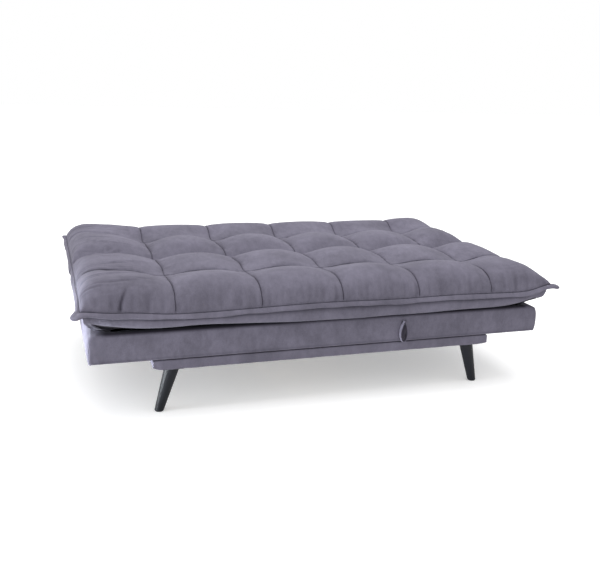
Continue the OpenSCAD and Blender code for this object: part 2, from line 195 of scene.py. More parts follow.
UPHOLSTERY = (0.110, 0.103, 0.135)
MATS = {
    "upholstery": fabric("upholstery_microfibre", UPHOLSTERY),
    "strap": fabric("strap_microfibre", (0.150, 0.140, 0.184), 0.06, 0.15, 0.8),
    "leg_wood": wood("slate_stained_wood", (0.0050, 0.0060, 0.0095), 0.5, 0.22, (26, 26, 1.5), 0.22),
    "glide_plastic": hard("glide_plastic", (0.03, 0.03, 0.033), 0.0, 0.5),
    "bumper_rubber": hard("bumper_rubber", (0.025, 0.025, 0.025), 0.0, 0.8),
    "foam": fabric("open_cell_foam", (0.72, 0.66, 0.48), 0.05, 0.1, 1.0, False),
    "dust_cloth": fabric("nonwoven_dust_cloth", (0.022, 0.022, 0.025), 0.12, 0.1, 0.7, False),
    "plywood": wood("birch_plywood", (0.50, 0.36, 0.20), 0.6, 0.12),
    "hinge_steel": hard("zinc_plated_steel", (0.50, 0.51, 0.53), 1.0, 0.36),
    "black_steel": hard("black_lacquered_steel", (0.02, 0.02, 0.022), 0.0, 0.45),
    "pine": wood("raw_pine", (0.60, 0.43, 0.24), 0.6, 0.18),
}
for entry in frame["record"]["subparts"]:
    node = frame["nodes"][entry["node"]]
    if not node.material_slots:
        node.data.materials.append(None)
    for slot in node.material_slots:
        slot.material = MATS[entry["material_slot"]]

# ---------------------------------------------------------------- mesh helpers


def set_seam_lines_and_painted_shade(me, values):
    """Stores how dark each point is painted: the seam lines and painted shade."""
    me.attributes.new("seam", "FLOAT", "POINT").data.foreach_set("value", np.asarray(values, np.float32))


def dress(ob, material):
    ob.data.materials.clear()
    ob.data.materials.append(MATS[material])


def make_object(name, verts, faces, material, seam=None):
    me = bpy.data.meshes.new(name)
    me.from_pydata([tuple(v) for v in verts], [], [tuple(f) for f in faces])
    me.update()
    # seam holds how dark each point is painted: seam lines and painted shade.
    if seam is not None:
        set_seam_lines_and_painted_shade(me, seam)
    ob = bpy.data.objects.new(name, me)
    bpy.context.scene.collection.objects.link(ob)
    me.polygons.foreach_set("use_smooth", [True] * len(me.polygons))
    dress(ob, material)
    return ob


def turn_outward(ob):
    """Makes every face of a closed mesh face outward."""
    bm = bmesh.new()
    bm.from_mesh(ob.data)
    bmesh.ops.recalc_face_normals(bm, faces=bm.faces)
    bm.to_mesh(ob.data)
    bm.free()


def apply_modifiers(ob):
    dg = bpy.context.evaluated_depsgraph_get()
    me = bpy.data.meshes.new_from_object(ob.evaluated_get(dg))
    old = ob.data
    ob.modifiers.clear()
    ob.data = me
    bpy.data.meshes.remove(old)
    me.polygons.foreach_set("use_smooth", [True] * len(me.polygons))
    return ob


def read_points(me):
    co = np.zeros(len(me.vertices) * 3)
    me.vertices.foreach_get("co", co)
    return co.reshape(-1, 3)


def write_points(me, co):
    me.vertices.foreach_set("co", co.ravel())
    me.update()


def ease(v):
    """Smooth step from 0 to 1."""
    v = np.clip(v, 0, 1)
    return v * v * (3 - 2 * v)


def waves(u, seed):
    """Smooth wandering line of about unit size, for u in metres."""
    rng = np.random.RandomState(seed)
    total = np.zeros_like(np.asarray(u, float))
    count = 5
    for _ in range(count):
        total += rng.uniform(0.4, 1) * np.sin(rng.uniform(1.5, 7.0) * u * 2 + rng.uniform(0, 6.28))
    return total / (count * 0.45)


# ---------------------------------------------------------------- topper


def cell_samples(edges, per_cell, outer_low, outer_high):
    """Grid positions, closer together beside each seam; with the cell index and place in the cell."""
    where, cell, place = [], [], []
    for c in range(len(edges) - 1):
        for k in range(per_cell + (1 if c == len(edges) - 2 else 0)):
            q = k / per_cell
            at_border = (c == 0 and outer_low) or (c == len(edges) - 2 and outer_high)
            lean = 0.8 if at_border else 0.55
            q = (1 - lean) * q + lean * (0.5 - 0.5 * math.cos(math.pi * q))
            where.append(edges[c] + q * (edges[c + 1] - edges[c]))
            cell.append(c)
            place.append(q)
    return np.array(where), np.array(cell), np.array(place)


def roll_off(outward, start):
    """1 on the flat of an edge cell, falling like a rounded shoulder to 0 at the flange seam."""
    t = np.clip((outward - start) / (1 - start), 0, 1)
    return np.sqrt(np.clip(1 - t ** 2.5, 0, 1))


def edge_height(x, y, seed):
    """Height of the flange seam: it wanders, sags left of the middle, and lifts at the left and at corners."""
    corner = np.hypot(np.abs(x) - SKIN_X, np.abs(y) - SKIN_Y)
    wander = 0.0018 * waves(x + y * 1.7, seed)
    sag = -0.006 * np.exp(-(((x + 0.53) / 0.18) ** 2))
    shoulder = 0.012 * ease((-x - 0.60) / 0.2)
    left_end = 0.034 * ease((y + SKIN_Y) / 0.10) * np.exp(-(((x + SKIN_X) / 0.12) ** 2))
    lift = np.where(x > 0, 0.026, 0.012) * np.exp(-((corner / 0.075) ** 2))
    return EDGE_Z + wander + sag + shoulder + left_end + lift


def pad_skin(sign, seed, per):
    """Upper skin of one topper half as a grid; sign is -1 for the seat and +1 for the back."""
    rng = np.random.RandomState(seed)
    x_edges = [-SKIN_X] + [COLUMN_SHIFT + COLUMN_STEP * k for k in (-2, -1, 0, 1, 2)] + [SKIN_X]
    y_edges = [CREASE_Y, ROW_Y, SKIN_Y]
    gx, cx, qx = cell_samples(x_edges, per, True, True)
    gy, cy, qy = cell_samples(y_edges, per, False, True)
    X0, Y0 = np.meshgrid(gx, gy)
    QX, QY = np.meshgrid(qx, qy)
    CX, CY = np.meshgrid(cx, cy)
    # Plan: the edges curve in between the corners and bulge a little beside each puff.
    fx, fy = X0 / SKIN_X, Y0 / SKIN_Y
    X = X0 * (1 - np.where(X0 > 0, 0.016, 0.002) / SKIN_X * (1 - fy ** 2))
    Y = Y0 * (1 - 0.018 / SKIN_Y * (1 - fx ** 2))
    if sign > 0:
        # At the left end the row seam is drawn towards the far corner.
        toward_end = np.clip((COLUMN_SHIFT - 2 * COLUMN_STEP - X0) / 0.33, 0, 1)
        Y = Y + 0.085 * toward_end ** 1.5 * np.sin(np.pi * fy)
    # Seams wander a little between the stitched nodes.
    X = X + 0.004 * waves(Y0 * 3, seed + 1) * (1 - fx ** 4) * np.sin(np.pi * fy)
    Y = Y + 0.004 * waves(X0 * 3, seed + 2) * np.clip(1 - fy ** 4, 0, 1) * ease(Y0 / 0.15)
    s, t = 2 * QX - 1, 2 * np.where(CY == 1, QY ** 1.35, QY) - 1
    S, T = np.abs(s) ** 2.3, np.abs(t) ** 2.1
    left, right, front = CX == 0, CX == 5, CY == 1
    S = np.where((left & (s < 0)) | (right & (s > 0)), 0, S)
    T = np.where(front & (t > 0), 0, T)
    lift = rng.uniform(-0.004, 0.004, (2, 6))[CY, CX]
    # Between its nodes a seam rises to nearly the height of the puffs, and it fades towards the edge.
    outward = np.where(left, 1 - QX, np.where(right, QX, 0.0))
    along_x = np.where(front & (sign < 0), 0.72, 0.62) * (1 - 0.8 * outward)
    shallow = 0.35 * QY if sign < 0 else 0.80 * ease(QY / 0.5)
    along_y = 0.84 * (1 - np.where(front, shallow, 0))
    dome = 1 - along_y * S - along_x * T - (1 - along_x - along_y) * S * T
    top = PAD_TOP + BACK_RISE * ease((sign * Y0 + 0.6) / 1.2)
    top = top + 0.008 * ease((-X0 - 0.55) / 0.25)
    # Around each stitched node the puffs are drawn down into a wide dimple.
    node_x = np.array(x_edges[1:-1])[:, None, None]
    away = np.hypot(X0 - node_x, Y0 - ROW_Y).min(0)
    away = np.minimum(away, np.hypot(X0 - node_x, Y0 - CREASE_Y).min(0))
    dome = dome * (1 - 0.85 * np.exp(-((away / 0.080) ** 2)))
    dome = NODE_Z + (top - NODE_Z) * dome + lift * (1 - S) * (1 - T)
    fall = np.ones_like(dome)
    fall = np.where(left, fall * roll_off(1 - QX, 0.68), fall)
    fall = np.where(right, fall * roll_off(QX, 0.42), fall)
    fall = np.where(front, fall * roll_off(QY, 0.48), fall)
    rim = edge_height(X, sign * Y, seed)
    Z = rim + (dome - rim) * fall
    # The crease between seat and back is cut as a V with rounded upper edges, so that the halves can fold.
    slope = PIVOT_Z + 0.001 + V_SLOPE * (Y - CREASE_Y)
    Z = -V_ROUND * np.log(np.exp(-Z / V_ROUND) + np.exp(-slope / V_ROUND))
    # Fine pulled wrinkles run across the end puffs.
    bend = 3.5 * waves(X * 4 + Y * 3, seed + 8) + 4.0 * waves(Y * 11, seed + 9)
    pull = np.sin(2 * np.pi * Y / 0.027 + bend)
    pull = pull * np.clip(waves(X * 3 + Y * 12, seed + 10) + 0.2, 0, 1) * ease(outward * 1.6) * np.sqrt(fall)
    wrinkle = 0.0034 * pull * np.where(left, 1.0, 0.35)
    near_seam = np.exp(-(SKIN_Y - np.abs(Y0)) / 0.030)
    wrinkle = wrinkle + 0.0030 * near_seam * waves(X * 18, seed + 12)
    # One deeper fold runs up from the flange near the front left corner.
    if sign < 0:
        fold = X + 0.800 - 0.55 * (SKIN_Y - Y0)
        wrinkle = wrinkle - 0.0120 * np.exp(-((fold / 0.006) ** 2)) * np.exp(-(((SKIN_Y - Y0) / 0.030) ** 2))
    return X, sign * Y, Z, (CX, CY, QX, QY, wrinkle)


def grid_faces(rows, cols, sign):
    """Quads of a grid of points, wound so that they face up on the half that sign names."""
    faces = []
    for r in range(rows - 1):
        for c in range(cols - 1):
            a = r * cols + c
            quad = (a, a + 1, a + cols + 1, a + cols)
            faces.append(quad if sign > 0 else quad[::-1])
    return faces


def stitched(CX, CY, QX, QY):
    """Which grid points lie on a column seam, on a row seam and on the border."""
    on_column = (QX == 0) & (CX > 0)
    on_row = (QY == 0) & (CY == 1)
    border = np.zeros(QX.shape, bool)
    border[0] = border[-1] = True
    border[:, 0] = border[:, -1] = True
    return on_column.ravel(), on_row.ravel(), border.ravel()


def cloth_move(name, sign, seed, per):
    """How far the cloth simulation moves each point of a coarse skin, as a grid of vectors."""
    X, Y, Z, (CX, CY, QX, QY, _) = pad_skin(sign, seed, per)
    on_column, on_row, border = stitched(CX, CY, QX, QY)
    points = np.stack([X.ravel(), Y.ravel(), Z.ravel()], 1)
    pin = on_column | on_row | border
    relaxed = relax_skin(name, points, grid_faces(*X.shape, sign), pin)
    return (relaxed - points).reshape(X.shape + (3,))


def finer(grid, times):
    """Linear interpolation of a grid of vectors to a finer grid."""
    for axis in (0, 1):
        n = grid.shape[axis]
        at = np.linspace(0, n - 1, (n - 1) * times + 1)
        low = np.minimum(at.astype(int), n - 2)
        part = (at - low)[:, None, None] if axis == 0 else (at - low)[None, :, None]
        grid = np.take(grid, low, axis) * (1 - part) + np.take(grid, low + 1, axis) * part
    return grid


CLOTH_STEPS = 18
MOVE_SHARE = 0.6  # how much of the simulated move is kept
MOST_MOVE = 0.010  # metres; longer moves are shortened to this first


def relax_skin(name, points, faces, pin):
    """Inflates the skin between its seams as cloth, and returns the new points."""
    me = bpy.data.meshes.new(name)
    me.from_pydata([tuple(p) for p in points], [], faces)
    ob = bpy.data.objects.new(name, me)
    scene = bpy.context.scene
    scene.collection.objects.link(ob)
    group = ob.vertex_groups.new(name="pin")
    group.add(np.flatnonzero(pin).tolist(), 1.0, "REPLACE")
    cloth = ob.modifiers.new("cloth", "CLOTH")
    cs = cloth.settings
    cs.vertex_group_mass = "pin"
    cs.quality = 6
    cs.mass = 0.25
    cs.tension_stiffness = cs.compression_stiffness = 14
    cs.shear_stiffness = 6
    cs.bending_stiffness = 0.6
    cs.tension_damping = cs.compression_damping = 12
    cs.shrink_min = -0.007
    cs.use_pressure = True
    cs.uniform_pressure_force = 0.35
    cs.effector_weights.gravity = 0
    cloth.collision_settings.use_collision = False
    cloth.collision_settings.use_self_collision = False
    cloth.point_cache.frame_start, cloth.point_cache.frame_end = 1, 30
    for step in range(1, CLOTH_STEPS + 1):
        scene.frame_set(step)
    dg = bpy.context.evaluated_depsgraph_get()
    result = read_points(ob.evaluated_get(dg).to_mesh())
    bpy.data.objects.remove(ob)
    scene.frame_set(1)
    move = result - points
    size = np.linalg.norm(move, axis=1, keepdims=True)
    return points + move * MOVE_SHARE * np.minimum(1, MOST_MOVE / np.maximum(size, 1e-9))


def ring_of(rows, cols):
    """Indices round the skin: the two ends and the outer edge, then back along the crease."""
    idx = np.arange(rows * cols).reshape(rows, cols)
    outer = list(idx[:, 0]) + list(idx[-1, 1:-1]) + list(idx[::-1, -1])
    crease = list(idx[0, -2:0:-1])
    return outer, crease


# Rings that shape a corner lobe: how far out each ring lies, and its height above the middle of the lobe.
LOBE_RINGS = {1: (0.12, 0.004), 2: (0.55, 0.006), 3: (0.90, 0.004), 4: (1.0, 0.0), 5: (0.90, -0.005),
              6: (0.55, -0.007)}


def corner_lobes(base, run, n_out, diagonal, hanging):
    """Round lobes of the flange at the outer corners.

    Gives each edge point's lobe centre and offset in plan, its height and slope, and its weight from 0 to 1.
    """
    n = len(base)
    centre, offset = np.zeros((n, 2)), np.zeros((n, 2))
    height, slope, part = np.zeros(n), np.zeros(n), np.zeros(n)
    reach_to = np.hypot(np.abs(base[:n_out, 0]) - SKIN_X, np.abs(base[:n_out, 1]) - SKIN_Y)
    for side in (-1, 1):
        here = np.where(np.sign(base[:n_out, 0]) == side, reach_to, 9.0)
        c = int(np.argmin(here))
        along = run - run[c]
        out = diagonal[c, :2]
        ahead = base[min(c + 3, n_out - 1), :2] - base[max(c - 3, 0), :2]
        across = np.array([-out[1], out[0]])
        across = across * np.sign(ahead @ across)
        front = base[c, 1] < 0
        push, radius = (0.013, 0.024) if front else (0.008, 0.014)
        tilt = (0.45 if hanging[c] else 0.20) if front else -0.1
        turn = np.radians(110) * np.clip(along / 0.050, -1, 1)
        blend = ease(1 - (np.abs(along) - 0.030) / 0.035) * (np.arange(n) < n_out)
        where = blend > part
        tip = out[None] * (push + radius * np.cos(turn))[:, None]
        tip = tip + across[None] * (radius * np.sin(turn))[:, None]
        centre[where], offset[where] = base[c, :2], tip[where]
        height[where] = base[c, 2] - 0.004
        slope[where] = -tilt * (tip @ out)[where]
        part = np.maximum(part, blend)
    return (centre, offset), (height, slope), part[:, None]


def stitch(pts, faces, CX, CY, QX, QY, wrinkle):
    """Pulls the seams into the skin and adds the wrinkles; gives the new points and the painted darkening: seam
    lines, and painted shade beside the seams and in the wrinkles.
    """
    on_column, on_row, border = stitched(CX, CY, QX, QY)
    on_seam = on_column | on_row
    me = bpy.data.meshes.new("normals")
    me.from_pydata([tuple(p) for p in pts], [], faces)
    normal = np.array([v.normal for v in me.vertices])
    bpy.data.meshes.remove(me)
    # At the right end the row seams run out flat.
    run_out = 1 - 0.85 * np.where(CX == 5, ease(QX * 1.3), 0)
    # The groove takes in the points beside each seam.
    near_x = np.minimum(QX, 1 - QX) * COLUMN_STEP
    near_y = np.minimum(QY, 1 - QY) * ROW_Y
    inner_x = ((CX > 0) | (QX > 0.5)) & ((CX < 5) | (QX < 0.5))
    inner_y = ((CY == 0) & (QY > 0.5)) | ((CY == 1) & (QY < 0.5))
    side = np.exp(-near_x / 0.006) * inner_x + np.exp(-near_y / 0.007) * inner_y * run_out
    side = side.ravel()
    depth = np.where(on_column, 0.0060, 0) + np.where(on_row, 0.0080 * run_out.ravel(), 0)
    depth = np.where(on_seam, depth, 0.0035 * side)
    depth[border] = 0
    # Painted shade: the seam lines are darkest, partly for the thread and partly as the shade in their grooves;
    # shade is also painted beside the seams and in the hollows of the wrinkles.
    painted_wrinkle_shade = 0.7 * np.clip(-wrinkle.ravel() / 0.008, 0, 1)
    seam = np.where(on_seam, 1.0, np.maximum(0.34 * side, painted_wrinkle_shade))
    seam[border] = 0
    return pts + normal * (wrinkle.ravel() * (1 - border) - depth)[:, None], seam


def outward_from(base, n_out, diagonal, corner):
    """Level directions straight out from the outer edge, and the same fanned out at the corners."""
    tangent = np.roll(base, -1, 0) - np.roll(base, 1, 0)
    tangent[0], tangent[n_out - 1] = base[1] - base[0], base[n_out - 1] - base[n_out - 2]
    out = np.stack([tangent[:, 1], -tangent[:, 0], np.zeros(len(base))], 1)
    out /= np.linalg.norm(out, axis=1, keepdims=True)
    middle = base[:n_out].mean(0)
    if np.mean(np.sum(out[:n_out] * (base[:n_out] - middle), 1)) < 0:
        out = -out
    out[n_out:] = 0
    fan = out + 2.0 * diagonal * np.exp(-((corner / 0.046) ** 2))[:, None]
    fan /= np.maximum(np.linalg.norm(fan, axis=1, keepdims=True), 1e-9)
    fan[n_out:] = 0
    return out, fan


def skirt_profile(base, run, corner, at_end, seed):
    """Rings from the pinched seam over the flange and the lower band to the underside.

    Each ring has its distance outward, its height and its painted shade, for every point round the edge: shade is
    painted in the pinched groove, under the flange and on the underside.
    """
    rim = base[:, 2]
    ripple = waves(run * 5, seed + 5)
    ripple2 = waves(run * 2, seed + 6)
    ear = np.exp(-((corner / 0.045) ** 2))
    lifted = np.exp(-((corner / 0.13) ** 2))
    width = 0.021 + 0.0012 * ripple
    droop = np.radians(50 + 8 * ripple2)
    reach = width * np.cos(droop)
    drop = width * np.sin(droop)
    groove = 0.014 * at_end * (1 - ear)
    # The underside lifts off the box towards the ends.
    sway = 0.016 * ease((-base[:, 0] - 0.05) / 0.5) + 0.010 * ease((base[:, 0] - 0.1) / 0.7)
    under = PAD_BOTTOM + 0.002 + 0.001 * ripple2 + sway + 0.026 * lifted
    crumple = 0.004 * waves(run * 26, seed + 7) * np.exp(-((corner / 0.16) ** 2))
    inset = 0.016 * at_end + 0.022 * lifted
    # The third value of each ring is painted shade: the pinched groove, the shadow under the flange and the shaded
    # underside.
    return [
        (-0.0030 - groove, rim - 0.0030 - groove * 0.4, 0.8 + 0.2 * at_end),
        (0.0030 + 0 * rim, rim - 0.0015, 0.0),
        (reach * 0.55, rim - drop * 0.42, 0.0),
        (reach * 0.93, rim - drop * 0.88, 0.0),
        (reach, rim - drop - 0.0010, 0.0),
        (reach - 0.0035, rim - drop - 0.0035, 0.2),
        (reach * 0.40 - 0.004, rim - drop * 0.80 - 0.0030, 0.7),
        (-0.0060 - inset * 0.6, rim - 0.0180, 0.9),
        (0.0010 - inset + crumple, rim - 0.0230, 0.2),
        (0.0050 + 0.0015 * ripple - inset + crumple, rim * 0.45 + under * 0.55, 0.0),
        (0.0010 - inset - crumple, under + 0.004, 0.0),
        (-0.0060 - inset * 1.1, under - 0.001, 0.3),
        (-0.0350 - inset * 1.1, np.minimum(under + 0.004, PAD_BOTTOM + 0.022), 0.9),
        (-0.0750 - inset, PAD_BOTTOM + 0.004 * lifted, 0.9),
        (-0.1200 + 0 * rim, PAD_BOTTOM + 0 * rim, 0.0),
    ]


def pad_half(name, body, sign, seed, nodes):
    """One half of the topper, closed below; sign is -1 for the seat and +1 for the back."""
    X, Y, Z, (CX, CY, QX, QY, wrinkle) = pad_skin(sign, seed, PER_CELL)
    rows, cols = X.shape
    pts = np.stack([X, Y, Z], 2)
    move = cloth_move(name + "_cloth", sign, seed, CLOTH_PER_CELL)
    pts = pts + finer(move, PER_CELL // CLOTH_PER_CELL)
    faces = grid_faces(rows, cols, sign)
    pts, seam = stitch(pts.reshape(-1, 3), faces, CX, CY, QX, QY, wrinkle)
    outer, crease = ring_of(rows, cols)
    loop = outer + crease
    base = pts[loop]
    n_out = len(outer)
    diagonal = np.stack([np.sign(base[:, 0]), np.sign(base[:, 1]), 0 * base[:, 0]], 1) / math.sqrt(2)
    corner = np.hypot(np.abs(base[:, 0]) - SKIN_X, np.abs(base[:, 1]) - SKIN_Y)
    run = np.concatenate([[0], np.cumsum(np.linalg.norm(np.diff(base, axis=0), axis=1))])
    hanging = (base[:, 0] < 0) & (base[:, 1] < 0)
    straight, out = outward_from(base, n_out, diagonal, corner)
    profile = skirt_profile(base, run, corner, np.abs(straight[:, 0]), seed)
    lobe_xy, lobe_z, lobe_part = corner_lobes(base, run, n_out, diagonal, hanging)
    on_crease = np.arange(len(loop)) >= n_out
    verts, shades = [pts], [seam]
    previous = np.array(loop)
    total = len(pts)
    count = len(loop)
    for k, (offset, height, shade) in enumerate(profile):
        ring = base + out * np.asarray(offset)[:, None]
        ring[:, 2] = height
        if k in LOBE_RINGS:
            share, thick = LOBE_RINGS[k]
            plan = lobe_xy[0] + share * lobe_xy[1]
            level = lobe_z[0] + share * lobe_z[1] + thick
            ring = ring * (1 - lobe_part) + np.concatenate([plan, level[:, None]], 1) * lobe_part
        # On the crease the rings run straight down the face between the halves.
        part = (k + 1) / len(profile)
        ring[on_crease, 2] = base[on_crease, 2] + (PAD_BOTTOM - base[on_crease, 2]) * part
        ring[on_crease, 1] = sign * (CREASE_Y + 0.0008 * math.sin(math.pi * part))
        verts.append(ring)
        shades.append(np.where(on_crease, 0, shade))
        now = np.arange(total, total + count)
        for i in range(count):
            j = (i + 1) % count
            quad = (previous[i], previous[j], now[j], now[i])
            faces.append(quad if sign < 0 else quad[::-1])
        previous = now
        total += count
    faces.append(tuple(previous) if sign < 0 else tuple(previous[::-1]))
    ob = make_object(name, np.concatenate(verts), faces, "upholstery", np.concatenate(shades))
    turn_outward(ob)
    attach(ob, body)
    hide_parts(*nodes)


pad_half("topper_seat_pad", "seat", -1, 11, ["topper_seat"])
pad_half("topper_back_pad", "back", 1, 23, ["topper_back"])

# ---------------------------------------------------------------- upholstered boxes and rails


def rounded(name, low, high, voxel, cuts=()):
    """Soft-edged block from low to high with the given (low, high) blocks cut away."""
    def block(tag, a, b):
        me = bpy.data.meshes.new(tag)
        bm = bmesh.new()
        bmesh.ops.create_cube(bm, size=1)
        for v in bm.verts:
            v.co = Vector([(a[i] + b[i]) / 2 + v.co[i] * (b[i] - a[i]) for i in range(3)])
        bm.to_mesh(me)
        bm.free()
        o = bpy.data.objects.new(tag, me)
        bpy.context.scene.collection.objects.link(o)
        return o

    ob = block(name, low, high)
    for k, (a, b) in enumerate(cuts):
        tool = block(f"{name}_cut{k}", a, b)
        m = ob.modifiers.new("cut", "BOOLEAN")
        m.operation, m.solver, m.object = "DIFFERENCE", "EXACT", tool
        apply_modifiers(ob)
        bpy.data.objects.remove(tool)
    m = ob.modifiers.new("remesh", "REMESH")
    m.mode, m.voxel_size = "VOXEL", voxel * 1
    m = ob.modifiers.new("soften", "SMOOTH")
    m.factor, m.iterations = 0.5, 5
    return apply_modifiers(ob)


def shift_surface(ob, amount):
    """Moves each point along its normal by amount(points, normals), in metres."""
    co = read_points(ob.data)
    normal = np.array([v.normal for v in ob.data.vertices])
    write_points(ob.data, co + normal * amount(co, normal)[:, None])


SEAM_UP = 0.012  # height of the box's lower seam above its underside
LOOP_SIDE_Y = -0.4  # only the front face is shaped around the pull loop and painted with shade inside it


def upholstered_box(name, body, span, seed, nodes):
    """Padded box cover with slots for the hinge arms at the crease."""
    low, high = Vector(span[0]), Vector(span[1])
    crease = high.y if high.y < 0.1 else low.y
    toward = 1 if crease == high.y else -1
    arm_in, arm_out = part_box("pivot_bolt_right")
    cuts = []
    for side in (-1, 1):
        xs = sorted((side * (arm_in.x - 0.003), side * (arm_out.x + 0.005)))
        ys = sorted((crease - toward * 0.035, crease + toward * 0.02))
        cuts.append(((xs[0], ys[0], low.z - 0.02), (xs[1], ys[1], high.z + 0.02)))
    ob = rounded(name, low, high, 0.006, cuts)

    def swell(p, n):
        fz = (p[:, 2] - low.z) / (high.z - low.z)
        face = np.abs(n[:, 1]) > 0.7
        end = np.abs(n[:, 0]) > 0.7
        belly = np.sin(np.pi * np.clip(fz, 0, 1))
        puff = np.where(end, 0.0030, 0.0020) * belly * (face | end) + np.where(end, 0.0030, 0.0)
        loose = 0.0011 * waves(p[:, 0] * 4 + p[:, 2] * 3, seed) * belly
        pleat = 0.0009 * waves(p[:, 0] * 22 + p[:, 2] * 9, seed + 3) * np.clip(1 - fz * 2.2, 0, 1)
        seam = -0.0022 * np.exp(-(((p[:, 2] - low.z - SEAM_UP) / 0.003) ** 2)) * (face | end)
        # The cloth gathers around the stitched end of the pull loop.
        distance = np.hypot(p[:, 0] - LOOP_X, p[:, 2] - LOOP_TOP)
        angle = np.arctan2(p[:, 0] - LOOP_X, p[:, 2] - LOOP_TOP)
        gather = 0.0022 * np.cos(7 * angle) * np.exp(-distance / 0.030) * (p[:, 1] < LOOP_SIDE_Y)
        bottom = n[:, 2] < -0.7
        return np.where(bottom, -0.0008, 0.0015) + puff + (loose + pleat + gather) * (face | end) + seam

    shift_surface(ob, swell)
    co = read_points(ob.data)
    # The upper corners at both ends are rounder than the long edges.
    top_near = np.exp(-(((high.z - co[:, 2]) / 0.022) ** 2))
    end_near = np.exp(-(((high.x - np.abs(co[:, 0])) / 0.026) ** 2))
    co[:, 0] -= np.sign(co[:, 0]) * 0.005 * top_near * end_near
    co[:, 2] -= 0.006 * top_near * end_near
    write_points(ob.data, co)
    side = np.array([max(abs(v.normal.x), abs(v.normal.y)) for v in ob.data.vertices])
    line = 0.45 * np.exp(-(((co[:, 2] - low.z - SEAM_UP) / 0.0028) ** 2)) * (side > 0.6)
    # The top is always in the shadow of the topper, except beside its lifted corners, so that shadow is painted on
    # it.
    painted_topper_shadow = ease((co[:, 2] - high.z + 0.009) / 0.007) * ease((0.875 - np.abs(co[:, 0])) / 0.03)
    line = np.maximum(line, 0.92 * painted_topper_shadow)
    # Shade is painted on the box face inside the pull loop.
    inside = np.hypot((co[:, 0] - LOOP_X) / 0.010, (co[:, 2] - LOOP_TOP + 0.040) / 0.038)
    line = np.maximum(line, 0.7 * ease((1.3 - inside) / 0.6) * (co[:, 1] < LOOP_SIDE_Y))
    set_seam_lines_and_painted_shade(ob.data, line)
    dress(ob, "upholstery")
    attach(ob, body)
    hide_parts(*nodes)


upholstered_box("seat_box_upholstery", "seat", SEAT_BOX, 31, ["seat_cover", "seat_batting"])
upholstered_box("back_box_upholstery", "back", BACK_BOX, 37, ["back_cover", "back_batting"])


def covered_rail(node, seed):
    """Base rail with its cover; the lower corners of the two long rails are rounded."""
    low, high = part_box(node)
    ob = rounded(node + "_cover", low, high, 0.0035)
    shift_surface(ob, lambda p, n: 0.0006 * waves(p[:, 0] * 6 + p[:, 1] * 6 + p[:, 2] * 4, seed) + 0.0003)
    if high.x - low.x > 0.5:
        co = read_points(ob.data)
        tip = np.exp(-(((high.x - np.abs(co[:, 0])) / 0.016) ** 2))
        bottom = np.exp(-(((co[:, 2] - low.z) / 0.014) ** 2))
        co[:, 2] += np.where(co[:, 0] < 0, 0.009, 0.003) * tip * bottom
        co[:, 0] += np.sign(co[:, 0]) * 0.004 * tip
        write_points(ob.data, co)
    dress(ob, "upholstery")
    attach(ob, "base")
    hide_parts(node)


for k, rail in enumerate(("base_front_rail", "base_rear_rail", "base_left_rail", "base_right_rail")):
    covered_rail(rail, 50 + k)

# ---------------------------------------------------------------- pull loop


def strap_loop():
    """Closed strap loop: pinched at the top, widest below the middle, with a soft-edged section."""
    low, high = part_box("pull_loop")
    r = (high.x - low.x) / 2 - 0.0016
    top, foot = high.z - 0.003, low.z + 0.003
    steps = 60
    path = []
    for k in range(steps):
        # Down one side and up the other.
        turn = 2 * math.pi * k / steps
        down = 0.5 - 0.5 * math.cos(turn)
        wide = r * math.sin(math.pi * down * 0.84)
        wide *= math.sqrt(max(0.0, 1 - max(0.0, (down - 0.9) / 0.1) ** 2))
        path.append((wide if turn < math.pi else -wide, top + (foot - top) * down))
    path = np.array(path)
    tangent = np.roll(path, -1, 0) - np.roll(path, 1, 0)
    tangent /= np.linalg.norm(tangent, axis=1, keepdims=True)
    outward = np.stack([-tangent[:, 1], tangent[:, 0]], 1)
    half_t, across = 0.0022, np.linspace(0, 1, 9)
    section = [(q, 1) for q in across] + [(q, -1) for q in across[::-1]]
    verts, faces = [], []
    for i, p in enumerate(path):
        for q, face in section:
            soft = half_t * (1 - 0.55 * abs(2 * q - 1) ** 6)
            twist = 0.0007 * math.sin(i * 0.55) * (q - 0.5)
            w = p + outward[i] * (face * soft + twist)
            verts.append((LOOP_X + w[0], low.y + 0.0008 + q * (high.y - low.y - 0.0016), w[1]))
    m = len(section)
    for i in range(steps):
        j = (i + 1) % steps
        for k in range(m):
            faces.append((i * m + k, i * m + (k + 1) % m, j * m + (k + 1) % m, j * m + k))
    # The inner face of the strap is in its own shadow, which is painted on as shade.
    seam = [0.85 if face < 0 else 0.0 for _ in path for q, face in section]
    ob = make_object("pull_loop_strap", verts, faces, "strap", seam)
    turn_outward(ob)
    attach(ob, "loop")
    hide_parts("pull_loop")


strap_loop()


def panel_faces(nx, ny, flip):
    """Faces of a thin panel made of two grids of nx by ny points, the second behind the first."""
    n = nx * ny
    quads = []
    for r in range(ny - 1):
        for c in range(nx - 1):
            a = r * nx + c
            quads.append((a, a + 1, a + nx + 1, a + nx))
            quads.append((n + a, n + a + nx, n + a + nx + 1, n + a + 1))
    rim = list(range(nx)) + [r * nx + nx - 1 for r in range(1, ny)]
    rim += [(ny - 1) * nx + c for c in range(nx - 2, -1, -1)] + [r * nx for r in range(ny - 2, 0, -1)]
    quads += [(b, a, a + n, b + n) for a, b in zip(rim, rim[1:] + rim[:1])]
    return [quad[::-1] for quad in quads] if flip else quads


